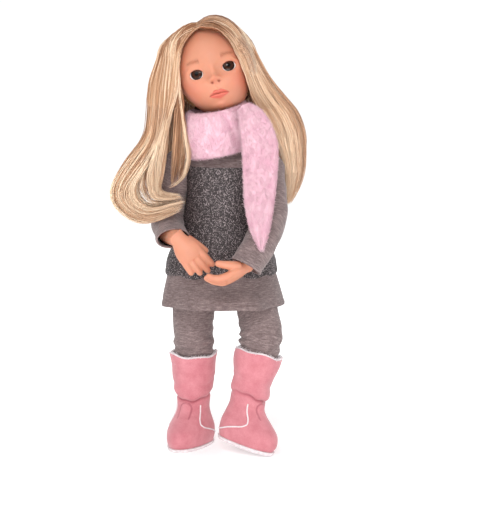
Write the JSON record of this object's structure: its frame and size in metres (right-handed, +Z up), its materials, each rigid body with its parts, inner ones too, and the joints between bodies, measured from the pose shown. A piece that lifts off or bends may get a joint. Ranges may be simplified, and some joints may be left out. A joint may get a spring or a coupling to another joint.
{
  "type": "jointed play doll",
  "caption": "Standing play doll with swivel-hinge joints at neck, shoulders, elbows, hips and knees, long rooted hair, knitted tunic and trousers, plush scarf and soft boots.",
  "frame": {"origin": "middle of the part's box, on the floor under the boots", "axes": "+Z up, the doll faces -Y, its left side is at +X"},
  "size_m": [0.2202, 0.1488, 0.4918],
  "materials": {
    "vinyl_skin": "satin soft vinyl",
    "nylon": "plain moulded",
    "eye_white": "glossy",
    "iris_brown": "glossy",
    "blonde_hair": "silky fibre",
    "glitter_knit": "dark knit with metallic thread",
    "grey_jersey": "melange jersey",
    "pink_plush": "short plush",
    "pink_suede": "brushed suede cloth",
    "white_plush": "short plush",
    "pale_sole": "matt"
  },
  "bodies": {
    "torso": {"torso": "vinyl_skin", "tunic_yoke": "grey_jersey", "tunic_bodice": "glitter_knit", "tunic_skirt": "grey_jersey", "trousers_seat": "grey_jersey", "scarf_loop": "pink_plush", "scarf_tail": "pink_plush"},
    "neck_swivel": {"neck": "vinyl_skin"},
    "head": {"head": "vinyl_skin", "neck_pin": "nylon", "eye_right": "eye_white", "eye_left": "eye_white", "iris_right": "iris_brown", "iris_left": "iris_brown", "hair_crown": "blonde_hair", "hair_back": "blonde_hair", "hair_right": "blonde_hair", "hair_left": "blonde_hair"},
    "shoulder_swivel_right": {"shoulder_peg_right": "nylon"},
    "upper_arm_right": {"upper_arm_right": "vinyl_skin", "shoulder_pin_right": "nylon", "sleeve_upper_right": "grey_jersey"},
    "elbow_swivel_right": {"elbow_peg_right": "nylon"},
    "forearm_right": {"forearm_right": "vinyl_skin", "elbow_pin_right": "nylon", "sleeve_lower_right": "grey_jersey"},
    "hip_swivel_right": {"hip_peg_right": "nylon"},
    "thigh_right": {"thigh_right": "vinyl_skin", "hip_pin_right": "nylon", "trouser_thigh_right": "grey_jersey"},
    "knee_swivel_right": {"knee_peg_right": "nylon"},
    "shin_right": {"shin_right": "vinyl_skin", "knee_pin_right": "nylon", "trouser_shin_right": "grey_jersey", "boot_upper_right": "pink_suede", "boot_lining_right": "white_plush", "boot_sole_right": "pale_sole"},
    "shoulder_swivel_left": {"shoulder_peg_left": "nylon"},
    "upper_arm_left": {"upper_arm_left": "vinyl_skin", "shoulder_pin_left": "nylon", "sleeve_upper_left": "grey_jersey"},
    "elbow_swivel_left": {"elbow_peg_left": "nylon"},
    "forearm_left": {"forearm_left": "vinyl_skin", "elbow_pin_left": "nylon", "sleeve_lower_left": "grey_jersey"},
    "hip_swivel_left": {"hip_peg_left": "nylon"},
    "thigh_left": {"thigh_left": "vinyl_skin", "hip_pin_left": "nylon", "trouser_thigh_left": "grey_jersey"},
    "knee_swivel_left": {"knee_peg_left": "nylon"},
    "shin_left": {"shin_left": "vinyl_skin", "knee_pin_left": "nylon", "trouser_shin_left": "grey_jersey", "boot_upper_left": "pink_suede", "boot_lining_left": "white_plush", "boot_sole_left": "pale_sole"}
  },
  "joints": [
    {"name": "neck_turn", "type": "hinge", "parent": "torso", "child": "neck_swivel", "pos_m": [0.01526, 0.01369, 0.38904], "axis": [0.0087, -0.0958, 0.9954], "range_deg": [-60, 60], "deforming": ["hair_back", "hair_right", "hair_left", "scarf_loop", "scarf_tail"]},
    {"name": "neck_tilt", "type": "hinge", "parent": "neck_swivel", "child": "head", "pos_m": [0.01526, 0.01369, 0.38904], "axis": [0, 0.9954, 0.0958], "range_deg": [-5, 30]},
    {"name": "shoulder_swing_right", "type": "hinge", "parent": "torso", "child": "shoulder_swivel_right", "pos_m": [-0.03834, 0.01627, 0.32044], "axis": [-1, -0.0008, 0.0087], "range_deg": [0, 90]},
    {"name": "shoulder_spread_right", "type": "hinge", "parent": "shoulder_swivel_right", "child": "upper_arm_right", "pos_m": [-0.03834, 0.01627, 0.32044], "axis": [-0.0005, 0.999, 0.0436], "range_deg": [0, 45], "deforming": ["sleeve_upper_right", "tunic_yoke", "tunic_bodice"]},
    {"name": "elbow_twist_right", "type": "hinge", "parent": "upper_arm_right", "child": "elbow_swivel_right", "pos_m": [-0.0568, 0.01898, 0.25818], "axis": [-0.284, 0.0417, -0.9579], "range_deg": [0, 40]},
    {"name": "elbow_bend_right", "type": "hinge", "parent": "elbow_swivel_right", "child": "forearm_right", "pos_m": [-0.0568, 0.01898, 0.25818], "axis": [0.8979, 0.3619, -0.2505], "range_deg": [-3, 42], "deforming": ["sleeve_lower_right"]},
    {"name": "hip_swing_right", "type": "hinge", "parent": "torso", "child": "hip_swivel_right", "pos_m": [-0.01986, 0.0294, 0.205], "axis": [-1, -0.0008, 0.0087], "range_deg": [-20, 38], "deforming": ["trouser_thigh_right", "tunic_skirt", "trousers_seat"]},
    {"name": "hip_spread_right", "type": "hinge", "parent": "hip_swivel_right", "child": "thigh_right", "pos_m": [-0.01986, 0.0294, 0.205], "axis": [-0.0008, 1, 0], "range_deg": [0, 22]},
    {"name": "knee_twist_right", "type": "hinge", "parent": "thigh_right", "child": "knee_swivel_right", "pos_m": [-0.01985, 0.0294, 0.123], "axis": [0, 0, -1], "range_deg": [-12, 25]},
    {"name": "knee_bend_right", "type": "hinge", "parent": "knee_swivel_right", "child": "shin_right", "pos_m": [-0.01985, 0.0294, 0.123], "axis": [0.9275, -0.3738, 0], "range_deg": [0, 75], "deforming": ["trouser_shin_right"]},
    {"name": "shoulder_swing_left", "type": "hinge", "parent": "torso", "child": "shoulder_swivel_left", "pos_m": [0.06765, 0.01636, 0.31952], "axis": [-1, -0.0008, 0.0087], "range_deg": [0, 80]},
    {"name": "shoulder_spread_left", "type": "hinge", "parent": "shoulder_swivel_left", "child": "upper_arm_left", "pos_m": [0.06765, 0.01636, 0.31952], "axis": [0.0049, -0.8746, 0.4848], "range_deg": [0, 45], "deforming": ["sleeve_upper_left"]},
    {"name": "elbow_twist_left", "type": "hinge", "parent": "upper_arm_left", "child": "elbow_swivel_left", "pos_m": [0.07115, -0.01509, 0.26274], "axis": [-0.0539, 0.4839, 0.8735], "range_deg": [0, 40]},
    {"name": "elbow_bend_left", "type": "hinge", "parent": "elbow_swivel_left", "child": "forearm_left", "pos_m": [0.07115, -0.01509, 0.26274], "axis": [0.3947, -0.7932, 0.4637], "range_deg": [0, 31], "deforming": ["sleeve_lower_left"]},
    {"name": "hip_swing_left", "type": "hinge", "parent": "torso", "child": "hip_swivel_left", "pos_m": [0.04714, 0.02945, 0.20442], "axis": [-1, -0.0008, 0.0087], "range_deg": [-15, 30], "deforming": ["trouser_thigh_left"]},
    {"name": "hip_spread_left", "type": "hinge", "parent": "hip_swivel_left", "child": "thigh_left", "pos_m": [0.04714, 0.02945, 0.20442], "axis": [0.0039, -0.9336, 0.3583], "range_deg": [0, 22]},
    {"name": "knee_twist_left", "type": "hinge", "parent": "thigh_left", "child": "knee_swivel_left", "pos_m": [0.05934, 0.00044, 0.1287], "axis": [-0.1487, 0.3538, 0.9234], "range_deg": [-15, 25]},
    {"name": "knee_bend_left", "type": "hinge", "parent": "knee_swivel_left", "child": "shin_left", "pos_m": [0.05934, 0.00044, 0.1287], "axis": [0.6588, 0.7319, -0.1743], "range_deg": [-31, 3], "deforming": ["trouser_shin_left"]}
  ]
}
